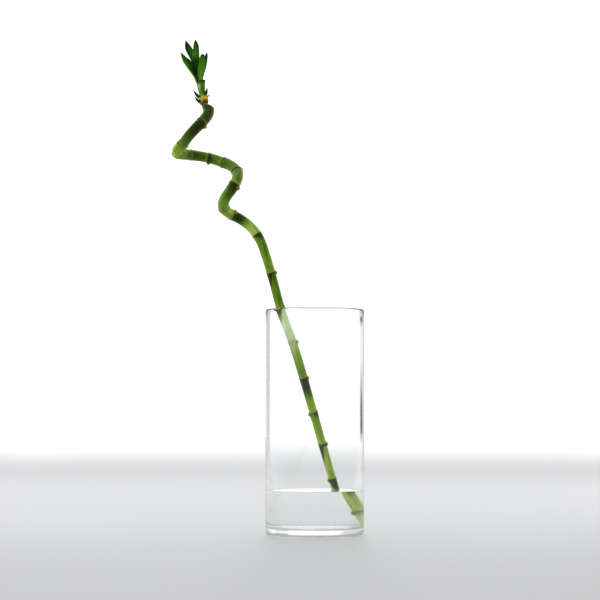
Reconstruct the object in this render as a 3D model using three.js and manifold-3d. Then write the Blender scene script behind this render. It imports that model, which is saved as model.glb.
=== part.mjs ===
// A lucky bamboo in its glass vase.
// Millimetres, +Z up. The origin is the centre of the vase's foot, on the surface that it stands on,
// and the front is seen looking along +Y.

import * as THREE from 'three';
import { mergeVertices } from 'three/addons/utils/BufferGeometryUtils.js';
import Module from 'manifold-3d';

const wasm = await Module();
wasm.setup();

// Driving dimensions: the vase and its water

const vaseRadius = 50;
const vaseHeight = 228;
const wallThickness = 3.7;
const floorThickness = 7.5;
const footRound = 4.5;
const innerFloorRound = 6;
const waterLevel = 45;
const meniscusRise = 1.8;
const meniscusReach = 3;
const vaseSegments = 60;
const cornerSteps = 4;
const rimSteps = 6;

// The water's rise at the wall, as [share of its reach in from the wall, share of its rise]
const meniscusShape = [[0, 1], [0.25, 0.4], [0.6, 0.1], [1, 0]];

// Clear space between two pieces that touch

const touchGap = 0.3;

// Driving dimensions: the cane. Its centreline starts at the bottom cut, which rests on the vase's floor,
// leans on the rim, and then winds up through the spiral.

const caneLine = [
  [32.4, 26.0, 9.1],
  [16.3, 14.6, 62.3],
  [-1.5, 1.4, 124],
  [-20.9, -12.3, 190],
  [-34.8, -21.1, 229.6],
  [-42.3, -27.0, 257.3],
  [-48.8, -31.4, 279.1],
  [-54.9, -33.8, 295.8],
  [-63.7, -33.4, 308.3],
  [-74.6, -33.0, 316.9],
  [-85.5, -37.6, 322.4],
  [-91.2, -47.0, 327.7],
  [-89.3, -57.4, 334.5],
  [-83.2, -63.6, 342.8],
  [-78.0, -61.2, 351.7],
  [-77.0, -51.5, 361.0],
  [-83.2, -40.4, 369.3],
  [-94.3, -33.6, 374.9],
  [-107.5, -31.4, 379.2],
  [-120.9, -34.4, 381.1],
  [-131.9, -41.0, 381.8],
  [-137.2, -50.5, 383.6],
  [-130.6, -59.6, 389.4],
  [-124.6, -66.0, 396.2],
  [-117.5, -68.6, 403.6],
  [-110.5, -66.2, 411.1],
  [-105.9, -60.8, 419.2],
  [-106.0, -57.2, 424.9],
  [-107.4, -54.9, 429.8],
];

// Diameter between the rings, as [distance along the cane, diameter]. The ring in the upper turn and the top cut
// are swollen.
const caneDiameters = [[0, 8.2], [70, 8.3], [134, 8.7], [180, 9.0], [280, 9.1], [300, 9.6], [335, 10.3],
  [370, 11.1], [415, 11.0], [437, 10.7], [455, 10.2], [474, 10.5], [487.5, 13.2], [490.5, 10.2],
  [515, 10.5], [540, 11.1], [553, 11.2], [560, 12.6]];

// Distances along the cane of its leaf scar rings, each with the way that its dormant bud faces, in degrees
// round the cane. The buds roughly take turns on its two sides.
const rings = [
  { at: 15.5, bud: 243 }, { at: 51, bud: 190 }, { at: 88.5, bud: 0 }, { at: 122.5, bud: 190 },
  { at: 159.5, bud: 340 }, { at: 198, bud: 350 }, { at: 235.5, bud: 185 }, { at: 272, bud: 0 },
  { at: 312.5, bud: 180 }, { at: 346, bud: 320 }, { at: 359, bud: 107 }, { at: 392, bud: 262 },
  { at: 412.5, bud: 339 }, { at: 436.5, bud: 260 }, { at: 454, bud: 110 }, { at: 472, bud: 300 },
  { at: 488.5, bud: 140 }, { at: 505, bud: 330 }, { at: 535, bud: 90 },
];

const ringHeight = 0.5;
const ringHalfWidth = 0.8;
const swellBelowRing = 0.05;
const swellLength = 10;
const budHeightShare = 0.33;
const budLength = 4;
const budSpread = 32;
const endBevel = 0.6;
const topCutLength = 7;
const caneSides = 14;
const internodeSteps = 6;
const caneLineDivisions = 2000;

// Driving dimensions: the young shoot on the cane's top

const shootLine = [[-110.6, -54.6, 430.1], [-111.1, -54.5, 434.4], [-111.8, -54.4, 438.4],
  [-112.9, -54.6, 443.4], [-113.5, -54.8, 448.4], [-113.5, -55.0, 453.2]];

// Radius along the shoot, as [distance along it, radius]: collar, neck, widening sheath
const shootRadii = [[0, 3.8], [1.5, 4.2], [4.5, 4.4], [7, 3.9], [9, 3.1], [11, 3.0], [14, 3.5], [18, 3.9],
  [24, 4.25]];
const shootSides = 16;
const shootSteps = 16;
const footLevelLength = 3;
const mouthRadius = 3.4;
const mouthDepth = 3.2;
const lipSlope = 0.22;
const lipLength = 5;
const coreRadius = 1.1;
const coreTipRadius = 0.5;
const coreHeight = 8;
const coreSunk = 1;

// Scale leaves at the foot of the shoot: distance up it, direction round it, how far from its middle the foot
// is sunk, length, tilt from upright, and width
const bracts = [
  { up: 6.4, turn: 197, foot: 2.4, length: 9.6, tilt: 54, width: 4.6 },
  { up: 1.6, turn: 203, foot: 3.0, length: 8.0, tilt: 58, width: 4.0 },
  { up: 8.6, turn: -30, foot: 2.4, length: 7.4, tilt: 32, width: 3.4 },
  { up: 7.2, turn: 8, foot: 2.6, length: 4.4, tilt: 66, width: 2.2 },
];
const bractThickness = 3;
const bractTipHalfWidth = 0.15;
const bractHook = 0.5;
const bractStations = [0, 0.35, 0.7, 1];

// Driving dimensions: the leaves. Each runs from its foot in the sheath to its tip. face is the way that its
// upper side looks at its foot, widths are shares of the full width along it, and curls are how far the blade
// is rolled about its midrib, in degrees, along it.

const bladeThickness = 0.7;
const mostRollFilled = 0.8;
const bladeSteps = 14;
const bladeStrips = 6;
const leaves = [
  {
    name: 'leaf_centre_tall',
    line: [[-115.5, -56.2, 450.6], [-116.9, -57.2, 458.5], [-118.2, -58.6, 467.2], [-118.6, -59.2, 476.1],
      [-118.4, -58.8, 484.7], [-119, -57.2, 493.8]],
    face: [0.25, 0.95, 0.1],
    width: 8.4,
    widths: [[0, 0.5], [0.2, 0.7], [0.36, 0.94], [0.5, 1], [0.65, 0.86], [0.85, 0.7], [0.94, 0.4], [1, 0.05]],
    curls: [[0, 190], [0.25, 110], [0.6, 60], [1, 40]],
  },
  {
    name: 'leaf_right_front',
    line: [[-113.8, -57.2, 450.9], [-114, -59.2, 458.1], [-113, -61.2, 464.7], [-112.1, -63.2, 471.4],
      [-111.9, -65.6, 476.2], [-111.9, -69.2, 477]],
    face: [-0.3, 0.95, 0.15],
    width: 6.6,
    widths: [[0, 0.55], [0.2, 0.8], [0.45, 1], [0.7, 0.84], [0.85, 0.66], [0.94, 0.4], [1, 0.08]],
    curls: [[0, 170], [0.3, 90], [0.7, 50], [1, 40]],
  },
  {
    name: 'leaf_left_low',
    line: [[-117.4, -55.7, 449.7], [-120, -57.2, 456.3], [-123.5, -58.6, 462.2], [-127.3, -59.8, 467.8],
      [-130.7, -60.8, 473.4], [-133, -61.4, 480.2]],
    face: [0.62, -0.55, 0.5],
    width: 12.4,
    widths: [[0, 0.4], [0.2, 0.6], [0.4, 0.92], [0.55, 1], [0.72, 0.86], [0.88, 0.48], [1, 0.04]],
    curls: [[0, 180], [0.3, 140], [0.6, 120], [0.85, 90], [1, 60]],
  },
  {
    name: 'leaf_left_tall',
    line: [[-116.2, -53.2, 452.2], [-117.6, -52.2, 461.4], [-119.4, -50.8, 470.7], [-122.6, -50.2, 478.9],
      [-126.8, -50.4, 486.9], [-129.1, -52.2, 494.2]],
    face: [0.3, -0.94, 0.16],
    width: 8.2,
    widths: [[0, 0.5], [0.2, 0.68], [0.5, 0.92], [0.7, 1], [0.84, 0.86], [0.93, 0.46], [1, 0.05]],
    curls: [[0, 180], [0.3, 100], [0.6, 70], [1, 50]],
  },
  {
    name: 'leaf_right_rear',
    line: [[-112.9, -52.8, 453.4], [-112.4, -51.8, 460.5], [-111.4, -50.8, 467.7], [-110, -50.2, 474.4],
      [-108.8, -50.4, 478.9], [-108.2, -51, 482.5]],
    face: [-0.55, -0.82, 0.2],
    width: 6.4,
    widths: [[0, 0.55], [0.25, 0.85], [0.45, 1], [0.65, 0.84], [0.82, 0.56], [0.92, 0.34], [1, 0.06]],
    curls: [[0, 170], [0.3, 100], [0.7, 60], [1, 50]],
  },
];

// Colours and finishes

const clearGlass = { color: 0xe6efec, roughness: 0.05, metalness: 0 };
const clearWater = { color: 0xd9e8e6, roughness: 0.03, metalness: 0 };
const caneGreen = { color: 0x4f7a26, roughness: 0.38, metalness: 0 };
const shootGreen = { color: 0x4a7426, roughness: 0.45, metalness: 0 };
const leafGreen = { color: 0x1f4d14, roughness: 0.42, metalness: 0 };

// Number helpers

// Reads a table of [place, value] rows, with straight lines between them.
function readAlong(table, at) {
  if (at <= table[0][0]) return table[0][1];
  for (let i = 1; i < table.length; i++) {
    const [start, from] = table[i - 1];
    const [end, to] = table[i];
    if (at <= end) return THREE.MathUtils.mapLinear(at, start, end, from, to);
  }
  return table[table.length - 1][1];
}

function vector(point) {
  return new THREE.Vector3(point[0], point[1], point[2]);
}

function curveThrough(points) {
  return new THREE.CatmullRomCurve3(points.map(vector), false, 'centripetal');
}

// Solids and geometries

const mergeDistance = 1e-4;
const cleanedSpacing = 1e-3;

function toSolid(geometry) {
  const bare = geometry.clone();
  bare.deleteAttribute('normal');
  bare.deleteAttribute('uv');
  const merged = mergeVertices(bare, mergeDistance);
  const mesh = new wasm.Mesh({
    numProp: 3,
    vertProperties: new Float32Array(merged.attributes.position.array),
    triVerts: new Uint32Array(merged.index.array),
  });
  return new wasm.Manifold(mesh);
}

function toGeometry(solid) {
  const mesh = solid.getMesh();
  const geometry = new THREE.BufferGeometry();
  geometry.setAttribute('position', new THREE.BufferAttribute(new Float32Array(mesh.vertProperties), 3));
  geometry.setIndex(new THREE.BufferAttribute(new Uint32Array(mesh.triVerts), 1));
  geometry.computeVertexNormals();
  return geometry;
}

function largestPart(solid) {
  const parts = solid.decompose();
  return parts.reduce((best, part) => (part.volume() > best.volume() ? part : best));
}

// Trimming can leave points almost on top of each other, and crumbs beside the piece itself: the points snap to
// a fine grid and merge, and only the largest part stays.
function cleaned(solid) {
  const geometry = toGeometry(largestPart(solid));
  const coordinates = geometry.attributes.position.array;
  for (let i = 0; i < coordinates.length; i++) {
    coordinates[i] = Math.round(coordinates[i] / cleanedSpacing) * cleanedSpacing;
  }
  return largestPart(toSolid(geometry));
}

// A skin over closed sections of points, each counter-clockwise seen from the far end, with both ends closed.
function loft(sections) {
  const sides = sections[0].length;
  const positions = sections.flat().flatMap((p) => [p.x, p.y, p.z]);
  const indices = [];
  for (let i = 0; i < sections.length - 1; i++) {
    for (let j = 0; j < sides; j++) {
      const a = i * sides + j;
      const b = i * sides + ((j + 1) % sides);
      indices.push(a, b, b + sides, a, b + sides, a + sides);
    }
  }
  const last = (sections.length - 1) * sides;
  for (let j = 1; j < sides - 1; j++) {
    indices.push(0, j + 1, j);
    indices.push(last, last + j, last + j + 1);
  }
  const geometry = new THREE.BufferGeometry();
  geometry.setAttribute('position', new THREE.Float32BufferAttribute(positions, 3));
  geometry.setIndex(indices);
  return geometry;
}

// Points, tangents and two sideways directions at given distances along a curve, with no twist between them.
function framesAlong(curve, distances, startSide = new THREE.Vector3(1, 0, 0)) {
  const length = curve.getLength();
  const frames = [];
  const side = startSide.clone();
  for (const distance of distances) {
    const u = THREE.MathUtils.clamp(distance / length, 0, 1);
    const tangent = curve.getTangentAt(u);
    side.addScaledVector(tangent, -side.dot(tangent)).normalize();
    frames.push({
      point: curve.getPointAt(u),
      tangent,
      side: side.clone(),
      across: new THREE.Vector3().crossVectors(tangent, side),
      distance,
    });
  }
  return frames;
}

// The clearance round a piece also reaches past both of its ends.
function lengthened(sections, frames, extra) {
  const last = sections.length - 1;
  for (const point of sections[0]) point.addScaledVector(frames[0].tangent, -extra);
  for (const point of sections[last]) point.addScaledVector(frames[last].tangent, extra);
  return sections;
}

// A round section whose radius may change round it. Its points shift along the line by shiftAt.
function roundSection(frame, sides, radiusAt, shiftAt) {
  const section = [];
  for (let j = 0; j < sides; j++) {
    const angle = (j / sides) * Math.PI * 2;
    const radius = radiusAt(angle);
    const offset = frame.side.clone().multiplyScalar(Math.cos(angle) * radius);
    offset.addScaledVector(frame.across, Math.sin(angle) * radius);
    offset.addScaledVector(frame.tangent, shiftAt(offset));
    section.push(frame.point.clone().add(offset));
  }
  return section;
}

// How far a point of a section shifts along the line for the section to lie level
function levelShift(frame, offset) {
  return -offset.z / frame.tangent.z;
}

// Vase: a thick foot, a straight wall and a rounded rim

const innerRadius = vaseRadius - wallThickness;

function arcPoints(cx, cy, radius, startDegrees, endDegrees, steps) {
  const points = [];
  for (let i = 0; i <= steps; i++) {
    const angle = THREE.MathUtils.degToRad(startDegrees + ((endDegrees - startDegrees) * i) / steps);
    points.push(new THREE.Vector2(cx + radius * Math.cos(angle), cy + radius * Math.sin(angle)));
  }
  return points;
}

function turned(profile) {
  const geometry = new THREE.LatheGeometry(profile, vaseSegments);
  geometry.rotateX(Math.PI / 2);
  return geometry;
}

function makeVase() {
  const rimRadius = wallThickness / 2;
  const profile = [
    new THREE.Vector2(0, 0),
    ...arcPoints(vaseRadius - footRound, footRound, footRound, -90, 0, cornerSteps),
    ...arcPoints(vaseRadius - rimRadius, vaseHeight - rimRadius, rimRadius, 0, 180, rimSteps),
    ...arcPoints(innerRadius - innerFloorRound, floorThickness + innerFloorRound, innerFloorRound, 0, -90,
      cornerSteps),
    new THREE.Vector2(0, floorThickness),
  ];
  return turned(profile);
}

// Water: it fills the foot of the vase and climbs a little at the wall

function waterProfile() {
  const radius = innerRadius - touchGap;
  const bottom = floorThickness + touchGap;
  const cornerRound = innerFloorRound - touchGap;
  const meniscus = meniscusShape.map(([inwards, upwards]) => (
    new THREE.Vector2(radius - meniscusReach * inwards, waterLevel + meniscusRise * upwards)
  ));
  return [
    new THREE.Vector2(0, bottom),
    ...arcPoints(radius - cornerRound, bottom + cornerRound, cornerRound, -90, 0, cornerSteps),
    ...meniscus,
    new THREE.Vector2(0, waterLevel),
  ];
}

// Cane

const caneCurve = curveThrough(caneLine);
caneCurve.arcLengthDivisions = caneLineDivisions;
const caneLength = caneCurve.getLength();

// Each internode is thinnest just above a ring, swells towards the next ring up, and ends in the ring's ridge.
function caneRadius(distance) {
  let radius = readAlong(caneDiameters, distance) / 2;
  for (const { at } of rings) {
    const below = at - distance;
    const away = Math.abs(below) / ringHalfWidth;
    if (below >= 0 && below < swellLength) radius *= 1 + swellBelowRing * (1 - below / swellLength);
    if (away < 1) radius += ringHeight * (1 - away * away);
  }
  return radius;
}

// A dormant bud sits at the lower side of each ring.
function budRelief(distance, angle) {
  const degrees = THREE.MathUtils.radToDeg(angle);
  let relief = 0;
  for (const { at, bud } of rings) {
    const along = (at - distance - budLength / 2) / (budLength / 2);
    const around = (THREE.MathUtils.euclideanModulo(degrees - bud + 180, 360) - 180) / budSpread;
    const spread = along * along + around * around;
    if (spread < 1) relief = budHeightShare * caneRadius(distance) * (1 - spread);
  }
  return relief;
}

function caneStations() {
  const stations = [0, endBevel];
  let from = endBevel;
  const addSteps = (to) => {
    for (let k = 1; k <= internodeSteps; k++) stations.push(from + ((to - from) * k) / internodeSteps);
  };
  for (const { at } of rings) {
    addSteps(at - budLength);
    stations.push(at - budLength / 2, at - ringHalfWidth, at, at + ringHalfWidth);
    from = at + ringHalfWidth;
  }
  addSteps(caneLength - endBevel);
  stations.push(caneLength);
  return stations;
}

// Towards the top the sections turn level, because the top is cut straight across while the cane leans.
function makeCaneGeometry(extra) {
  const frames = framesAlong(caneCurve, caneStations());
  const sections = frames.map((frame) => {
    const fromEnd = Math.min(frame.distance, caneLength - frame.distance);
    const bevel = fromEnd < endBevel ? endBevel - fromEnd : 0;
    const level = Math.max(0, 1 - (caneLength - frame.distance) / topCutLength);
    const shiftAt = (offset) => level * levelShift(frame, offset);
    const radiusAt = (angle) => caneRadius(frame.distance) + budRelief(frame.distance, angle) - bevel + extra;
    return roundSection(frame, caneSides, radiusAt, shiftAt);
  });
  return loft(lengthened(sections, frames, extra));
}

const caneClearance = toSolid(makeCaneGeometry(touchGap));

function makeWater() {
  return toGeometry(toSolid(turned(waterProfile())).subtract(caneClearance));
}

// Shoot

const shootCurve = curveThrough(shootLine);
const shootLength = shootCurve.getLength();

// The foot lies level on the cane's top cut, and the lip at the top slopes down to the left.
function shootTube(extra) {
  const distances = Array.from({ length: shootSteps + 1 }, (_, i) => (shootLength * i) / shootSteps);
  const frames = framesAlong(shootCurve, distances);
  const sections = frames.map((frame) => {
    const level = Math.max(0, 1 - frame.distance / footLevelLength);
    const slope = lipSlope * Math.max(0, 1 - (shootLength - frame.distance) / lipLength);
    const radiusAt = () => readAlong(shootRadii, frame.distance) + extra;
    const shiftAt = (offset) => level * levelShift(frame, offset) + slope * offset.x;
    return roundSection(frame, shootSides, radiusAt, shiftAt);
  });
  return toSolid(loft(lengthened(sections, frames, extra)));
}

// A pointed scale leaf that stands out from the shoot, its foot sunk into it
function makeBract({ up, turn, foot, length, tilt, width }, extra) {
  const [frame] = framesAlong(shootCurve, [up]);
  const around = THREE.MathUtils.degToRad(turn);
  const out = new THREE.Vector3(Math.cos(around), Math.sin(around), 0);
  const lean = THREE.MathUtils.degToRad(tilt);
  const along = out.clone().multiplyScalar(Math.sin(lean)).add(new THREE.Vector3(0, 0, Math.cos(lean)));
  const across = new THREE.Vector3().crossVectors(along, out).normalize();
  const thick = new THREE.Vector3().crossVectors(across, along).normalize();
  const start = frame.point.clone().addScaledVector(out, foot);
  const sections = bractStations.map((t) => {
    const half = Math.max((width / 2) * (1 - t * t), bractTipHalfWidth) + extra;
    const depth = Math.max((bractThickness / 2) * (1 - t), bladeThickness / 2) + extra;
    const centre = start.clone().addScaledVector(along, t * (length + extra));
    centre.addScaledVector(thick, -t * t * bractHook);
    return [
      centre.clone().addScaledVector(thick, depth),
      centre.clone().addScaledVector(across, half),
      centre.clone().addScaledVector(thick, -depth),
      centre.clone().addScaledVector(across, -half),
    ];
  });
  return toSolid(loft(sections));
}

// An upright round peg whose foot is sunk below the middle of the shoot's top
function topPeg(radius, tipRadius, sunk, height) {
  const top = shootCurve.getPointAt(1);
  const peg = new THREE.CylinderGeometry(tipRadius, radius, height, shootSides);
  peg.rotateX(Math.PI / 2);
  peg.translate(top.x, top.y, top.z - sunk + height / 2);
  return toSolid(peg);
}

// The shoot with its sheath's open mouth and the young core inside it. extra thickens all of it.
function makeShoot(extra) {
  const mouth = topPeg(mouthRadius - extra, mouthRadius - extra, mouthDepth - extra, mouthDepth * 2);
  const core = topPeg(coreRadius + extra, coreTipRadius + extra, mouthDepth + coreSunk, coreHeight);
  let solid = shootTube(extra).subtract(mouth).add(core);
  for (const bract of bracts) solid = solid.add(makeBract(bract, extra));
  return cleaned(solid);
}

// Leaves

// A blade, rolled about its midrib. extra thickens and widens it, for the clearance round it.
function makeBlade(leaf, extra) {
  const curve = curveThrough(leaf.line);
  const length = curve.getLength();
  const distances = Array.from({ length: bladeSteps + 1 }, (_, i) => (length * i) / bladeSteps);
  const frames = framesAlong(curve, distances, vector(leaf.face));
  const sections = frames.map((frame) => {
    const t = frame.distance / length;
    const up = frame.side;
    const across = frame.across.clone().negate();
    const curl = THREE.MathUtils.degToRad(readAlong(leaf.curls, t));
    const roll = (leaf.width * readAlong(leaf.widths, t)) / curl;
    const spread = curl + (2 * extra) / roll;
    const half = bladeThickness / 2 + extra;
    const upper = [];
    const lower = [];
    for (let k = 0; k <= bladeStrips; k++) {
      const angle = spread * (k / bladeStrips - 0.5);
      const outward = across.clone().multiplyScalar(Math.sin(angle)).addScaledVector(up, -Math.cos(angle));
      const middle = frame.point.clone().addScaledVector(up, roll).addScaledVector(outward, roll);
      const thickness = Math.min(half, roll * mostRollFilled);
      upper.push(middle.clone().addScaledVector(outward, -thickness));
      lower.push(middle.clone().addScaledVector(outward, thickness));
    }
    return [...lower, ...upper.reverse()];
  });
  return toSolid(loft(lengthened(sections, frames, extra)));
}

// The inner leaves come first, and each later one is trimmed to lie against them.
function makeLeaves() {
  const made = [];
  let taken = makeShoot(touchGap);
  for (const leaf of leaves) {
    made.push([leaf.name, toGeometry(cleaned(makeBlade(leaf, 0).subtract(taken)))]);
    taken = taken.add(makeBlade(leaf, touchGap));
  }
  return made;
}

// The whole object

const plant = new THREE.Group();

function addPiece(name, geometry, look) {
  const mesh = new THREE.Mesh(geometry, new THREE.MeshStandardMaterial(look));
  mesh.name = name;
  plant.add(mesh);
}

addPiece('vase', makeVase(), clearGlass);
addPiece('water', makeWater(), clearWater);
addPiece('cane', makeCaneGeometry(0), caneGreen);
addPiece('shoot', toGeometry(makeShoot(0)), shootGreen);
for (const [name, geometry] of makeLeaves()) addPiece(name, geometry, leafGreen);

export default plant;
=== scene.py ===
# A spiral lucky bamboo cane with its young leafy shoot, leaning in a clear glass cylinder with shallow water.
import math

import bpy
import numpy as np
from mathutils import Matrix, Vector


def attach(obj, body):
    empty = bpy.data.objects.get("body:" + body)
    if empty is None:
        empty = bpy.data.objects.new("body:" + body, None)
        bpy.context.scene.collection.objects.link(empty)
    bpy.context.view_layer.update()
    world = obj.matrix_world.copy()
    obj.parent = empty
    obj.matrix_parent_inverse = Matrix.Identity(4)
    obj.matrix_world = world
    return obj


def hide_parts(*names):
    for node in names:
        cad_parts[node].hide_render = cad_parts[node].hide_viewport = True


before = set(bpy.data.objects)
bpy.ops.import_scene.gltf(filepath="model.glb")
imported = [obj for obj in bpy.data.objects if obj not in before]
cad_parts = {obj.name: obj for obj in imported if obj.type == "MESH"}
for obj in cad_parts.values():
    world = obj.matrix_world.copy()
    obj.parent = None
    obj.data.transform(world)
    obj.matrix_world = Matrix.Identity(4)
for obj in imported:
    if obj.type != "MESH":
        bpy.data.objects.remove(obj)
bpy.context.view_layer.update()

MM = 0.001
FULL_TURN = 2 * math.pi
# The steps of a smooth line between two of its given points
LINE_STEPS = 60

# Sizes, in millimetres

# Points closer than this are merged
MERGE_GAP = 0.001

VASE_RADIUS = 50.0
VASE_HEIGHT = 228.0
WALL = 3.7
FLOOR = 7.5
FOOT_ROUND = 4.5
INNER_ROUND = 6.0
INNER_RADIUS = VASE_RADIUS - WALL
ROUND_STEPS = 10
RIM_STEPS = 16
WALL_ROWS = 12
GLASS_STEPS = 192
# A ring of points this far inside a flat face's rounded edge keeps the shading of the face flat
FLAT_MARGIN = 1.0

WATER_LEVEL = 45.0
WATER_INTO_GLASS = 0.15
WATER_ROWS = 6
MENISCUS_RISE = 0.3
MENISCUS_REACH = 1.2
MENISCUS_STEPS = 10
MENISCUS_POWER = 2.6
# A ring of points close under the water's top edge, which keeps the shading of its side straight
EDGE_HOLD = 0.05

CANE_STEPS = 56
CANE_ROWS = 260
CANE_POINTS = 1200
GUIDE_POINTS = 600
CANE_LINE = [
    (32.4, 26, 9.1), (16.3, 14.6, 62.3), (-1.5, 1.4, 124), (-20.9, -12.3, 190), (-34.8, -21.1, 229.6),
    (-42.3, -27, 257.3), (-48.8, -31.4, 279.1), (-54.9, -33.8, 295.8), (-63.7, -33.4, 308.3),
    (-74.6, -33, 316.9), (-85.5, -37.6, 322.4), (-91.2, -47, 327.7), (-89.3, -57.4, 334.5),
    (-83.2, -63.6, 342.8), (-78, -61.2, 351.7), (-77, -51.5, 361), (-83.2, -40.4, 369.3),
    (-94.3, -33.6, 374.9), (-107.5, -31.4, 379.2), (-120.9, -34.4, 381.1), (-131.9, -41, 381.8),
    (-137.2, -50.5, 383.6), (-130.6, -59.6, 389.4), (-124.6, -66, 396.2), (-117.5, -68.6, 403.6),
    (-110.5, -66.2, 411.1), (-105.9, -60.8, 419.2), (-106, -57.2, 424.9), (-107.4, -54.9, 429.8),
]
CANE_DIAMETERS = [
    (0, 8.2), (70, 8.3), (134, 8.7), (180, 9.0), (280, 9.1), (300, 9.6), (335, 10.3), (370, 11.1),
    (415, 11.0), (437, 10.7), (455, 10.2), (474, 10.5), (487.5, 13.2), (490.5, 10.2), (515, 10.5),
    (540, 11.1), (553, 11.3), (560, 11.9),
]
RING_HEIGHT = 0.5
RING_HALF_WIDTH = 0.8
# The rows of points about a ring, as distances from it, and how far from it the even rows stay away
RING_ROWS = (
    -4.8, -4.3, -3.8, -3.3, -2.8, -2.3, -1.8, -1.4, -1.1, -0.8, -0.55, -0.3, -0.1,
    0, 0.1, 0.3, 0.55, 0.8, 1.1, 1.5,
)
RING_CLEAR_BELOW = 5.0
RING_CLEAR_ABOVE = 1.6
SWELL = 0.05
SWELL_LENGTH = 10.0
BUD_SHARE = 0.33
BUD_LENGTH = 4.0
BUD_SPREAD = 32.0
# Points nearer the axis than this lie on the end cuts, and no bud moves them
CUT_REACH = 1.5
END_BEVEL = 0.6
# The bevel round the foot's cut, inwards and upwards, in shares of its size
FOOT_BEVEL = [(1.6, 0), (1, 0), (0.3, 0.3)]
TOP_CUT_LENGTH = 17.0
TOP_ROUND = 4.0
TOP_FALL = 0.34
SHOULDER_STEPS = 8
# The side's rows stop this far under the rounded top edge
SHOULDER_GAP = 0.2
# How far round the bent guide turns a straight stalk's zero degrees
GUIDE_TURN = -52.95

# Each ring: its place along the cane, the degrees of its bud, then the dark patch under it (degrees of its
# middle, half spread, length, depth), then the green of the internode under it, near its top and near its
# foot, and last how strongly its brown lines show
RINGS = [
    (15.5, 205, (270, 120, 5, 0.4), (0.86, 0.88), 0.8),
    (51, 190, (345, 140, 24, 1.1), (0.76, 0.88), 1.0),
    (88.5, 0, (190, 85, 31, 1.0), (0.7, 0.86), 1.0),
    (122.5, 190, (350, 90, 10, 0.8), (0.5, 0.84), 1.0),
    (159.5, 340, (215, 170, 26, 1.0), (0.5, 0.82), 0.8),
    (198, 350, (0, 60, 5, 0.3), (0.7, 0.56), 0.8),
    (235.5, 185, (200, 110, 15, 1.0), (0.66, 0.78), 0.6),
    (272, 0, (190, 95, 22, 1.0), (0.36, 0.58), 0.5),
    (312.5, 115, (335, 110, 11, 0.75), (0.52, 0.62), 0.5),
    (346, 320, (250, 180, 22, 1.1), (0.58, 0.86), 0.7),
    (359, 107, (133, 50, 4, 0.8), (0.76, 0.7), 0.7),
    (392, 262, (225, 95, 16, 0.7), (0.38, 0.58), 0.8),
    (412.5, 339, (150, 150, 4, 0.8), (0.36, 0.42), 0.3),
    (436.5, 260, (200, 60, 2, 0.4), (0.38, 0.4), 0.6),
    (454, 30, (95, 100, 8, 0.9), (0.34, 0.46), 0.7),
    (472, 300, (60, 180, 12, 0.2), (0.32, 0.36), 0.5),
    (488.5, 319, (330, 60, 3, 0.5), (0.44, 0.34), 0.5),
    (505, 330, (300, 60, 3, 0.6), (0.56, 0.78), 0.5),
    (535, 90, (20, 180, 26, 1.0), (0.2, 0.4), 0.3),
]
# The same for the end of the cane above the last ring
TOP_PATCH = (20, 180, 12, 0.5)
TOP_GREENS = (-0.1, 0.04)
# A patch of at least this half spread goes all round, and a narrower one is nowhere shorter than this share
ALL_ROUND = 170
PATCH_LEAST = 0.12

SHOOT_STEPS = 48
SHOOT_ROWS = 60
SHOOT_POINTS = 400
SHOOT_LINE = [
    (-110.6, -54.6, 430.1), (-111.1, -54.5, 434.4), (-111.8, -54.4, 438.4), (-112.9, -54.6, 443.4),
    (-113.5, -54.8, 448.4), (-113.5, -55, 453.2),
]
SHOOT_RADII = [
    (0, 4.0), (1.5, 4.7), (4, 5.1), (6, 4.7), (8, 3.6), (10, 3.15), (14, 3.6), (18, 4.1), (24, 4.45),
]
FOOT_LEVEL_LENGTH = 3.0
FOOT_SUNK = 1.5
FOOT_FLAT = 0.9
SOFT_EDGE = 0.3
SHEATH_MARGIN = 0.4
MOUTH_RADIUS = 3.4
MOUTH_DEPTH = 3.2
MOUTH_START = 0.6
MOUTH_ROWS = 6
# The sheath's lip, as steps inwards and downwards from its outer edge, and from the mouth's edge
LIP_OUTER_STEP = (0.12, 0.1)
LIP_INNER_STEP = (0.1, 0.15)
LIP_SLOPE = 0.22
LIP_LENGTH = 5.0
# The core, nearer the axis than this, doesn't follow the lip's slope
LIP_REACH = 2.5
CORE_RADIUS = 1.1
CORE_TIP_RADIUS = 0.5
CORE_HEIGHT = 8.0
CORE_SUNK = 1.0
CORE_START = 0.4
CORE_ROWS = 10
# The lowest row's share of the core's height
CORE_FIRST_SHARE = 0.1
CORE_TAPER = 1.5
CORE_TIP_SHARE = 0.6
CORE_TIP_ROUND = 0.08

# Each bract: name, height up the shoot, degrees round it, its foot's distance from the axis,
# length, tilt, width
BRACTS = [
    ("bract_left_high", 6.4, 212, 2.8, 10.3, 57, 4.4),
    ("bract_left_low", 1.4, 212, 3.6, 8.2, 57, 3.8),
    ("bract_right", 8.4, -42, 2.6, 7.6, 34, 3.2),
    ("bract_collar", 7.0, 0, 3.0, 4.2, 66, 2.6),
]
BRACT_HOOK = 0.5
BRACT_THICKNESS = 0.9
BRACT_FULLNESS = 0.72
BRACT_TAPER = 2.4
BRACT_TIP = 0.1
BRACT_CURLS = [(0, 150), (1, 90)]
# The bracts get no painted light, so they keep the leaves' shaded greens all along
BRACT_LIGHT = [(0, 0), (1, 0)]

BLADE_THICKNESS = 0.5
MIDRIB_FOLD = 0.18
MIDRIB_WIDTH = 0.16
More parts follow.
